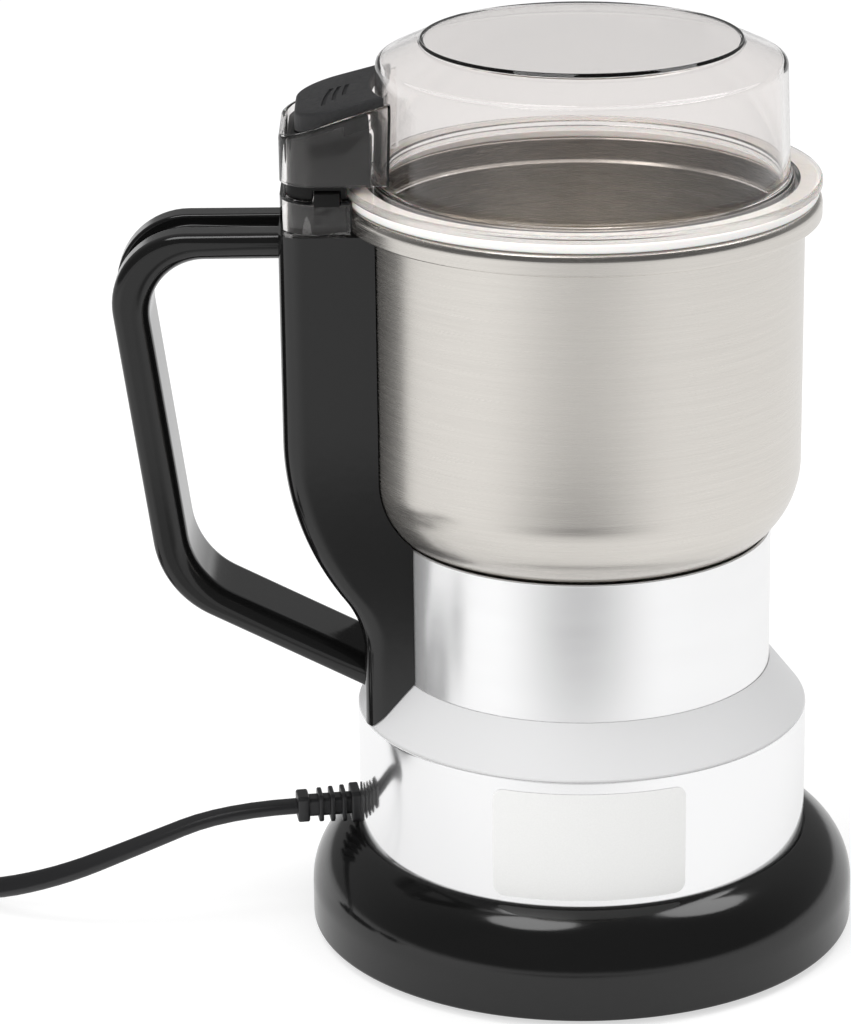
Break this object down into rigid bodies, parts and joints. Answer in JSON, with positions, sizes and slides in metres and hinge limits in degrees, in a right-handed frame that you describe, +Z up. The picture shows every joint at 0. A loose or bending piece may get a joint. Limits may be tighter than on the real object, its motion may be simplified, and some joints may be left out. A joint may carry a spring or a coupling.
{
  "type": "electric grain mill",
  "caption": "Upright electric grain mill: steel bowl with a swept blade on a motor base, clear lid with a press pad, side handle and mains cord.",
  "frame": {"origin": "on the table plane of the rubber feet, on the axis of the bowl and motor", "axes": "+Z up along the bowl's axis, handle towards -X, bare label facing -Y"},
  "size_m": [0.3136, 0.1506, 0.2116],
  "materials": {
    "gloss_black": "gloss moulding",
    "satin_black": "satin moulding",
    "pad_black": "fine spark texture",
    "foot_rubber": "matte",
    "seal_rubber": "matte",
    "white_silicone": "soft satin",
    "polished_cover": "bright polished steel",
    "brushed_bowl": "fine turned brushing",
    "blade_steel": "ground",
    "screw_steel": "zinc plated",
    "bearing_steel": "ground",
    "spring_steel": "drawn wire",
    "bare_brass": "turned",
    "lamination_iron": "stacked sheets",
    "winding_copper": "enamelled copper",
    "carbon": "pressed carbon",
    "frame_nylon": "natural nylon",
    "switch_plastic": "moulded",
    "switch_red": "moulded",
    "cord_black": "satin sheath",
    "pin_nickel": "nickel plated",
    "label_film": "bare satin film",
    "smoke_clear": "smoked clear plastic"
  },
  "bodies": {
    "housing": {"base_skirt": "gloss_black", "bottom_plate": "satin_black", "rubber_feet": "foot_rubber", "plate_screws": "screw_steel", "tie_screws": "screw_steel", "lower_cover": "polished_cover", "upper_sleeve": "polished_cover", "rating_label": "label_film", "bowl": "brushed_bowl", "bowl_nut": "bare_brass", "shaft_seal": "seal_rubber", "upper_motor_frame": "frame_nylon", "lower_motor_frame": "frame_nylon", "upper_bearing": "bearing_steel", "lower_bearing": "bearing_steel", "stator_stack": "lamination_iron", "field_coils": "winding_copper", "brush_holders": "bare_brass", "carbon_brushes": "carbon", "motor_screws": "screw_steel", "handle_column": "gloss_black", "handle": "gloss_black", "handle_screws": "screw_steel", "column_cap": "smoke_clear", "cap_socket": "satin_black", "rod_spring": "spring_steel", "switch_case": "switch_plastic", "strain_relief": "cord_black", "cord_lead": "cord_black", "cord_coil": "cord_black", "cord_tail": "cord_black", "plug_body": "cord_black", "plug_pins": "pin_nickel"},
    "rotor": {"motor_shaft": "bearing_steel", "armature_core": "lamination_iron", "armature_windings": "winding_copper", "commutator": "winding_copper", "cooling_fan": "frame_nylon", "blade": "blade_steel", "blade_nut": "blade_steel"},
    "lid": {"clear_lid": "smoke_clear", "lid_seal": "white_silicone", "arm_insert": "satin_black", "pad_spring": "spring_steel"},
    "pad": {"press_pad": "pad_black"},
    "rod": {"push_rod": "frame_nylon"},
    "lever": {"switch_lever": "spring_steel"},
    "plunger": {"switch_plunger": "switch_red"}
  },
  "joints": [
    {"name": "rotor_spin", "type": "hinge", "parent": "housing", "child": "rotor", "pos_m": [0, 0, 0.1], "axis": [0, 0, 1], "continuous": true},
    {"name": "lid_lift", "type": "slide", "parent": "housing", "child": "lid", "axis": [0, 0, 1], "range_m": [0, 0.06]},
    {"name": "pad_press", "type": "slide", "parent": "lid", "child": "pad", "axis": [0, 0, -1], "range_m": [0, 0.0025], "stiffness_N_per_m": 600, "springref_m": -0.003, "deforming": ["pad_spring"]},
    {"name": "rod_slide", "type": "slide", "parent": "housing", "child": "rod", "axis": [0, 0, -1], "range_m": [0, 0.0025], "stiffness_N_per_m": 400, "springref_m": -0.004, "deforming": ["rod_spring"]},
    {"name": "lever_swing", "type": "hinge", "parent": "housing", "child": "lever", "pos_m": [-0.0575, -0.008, 0.13406], "axis": [-1, 0, 0], "range_deg": [0, 17.5]},
    {"name": "plunger_slide", "type": "slide", "parent": "housing", "child": "plunger", "axis": [0, 0, -1], "range_m": [0, 0.0011]}
  ],
  "couplings": [
    {"joint": "rod_slide", "follows": "pad_press", "ratio": 1},
    {"joint": "lever_swing", "follows": "pad_press", "rad_per_m": 120},
    {"joint": "plunger_slide", "follows": "pad_press", "ratio": 0.42}
  ]
}
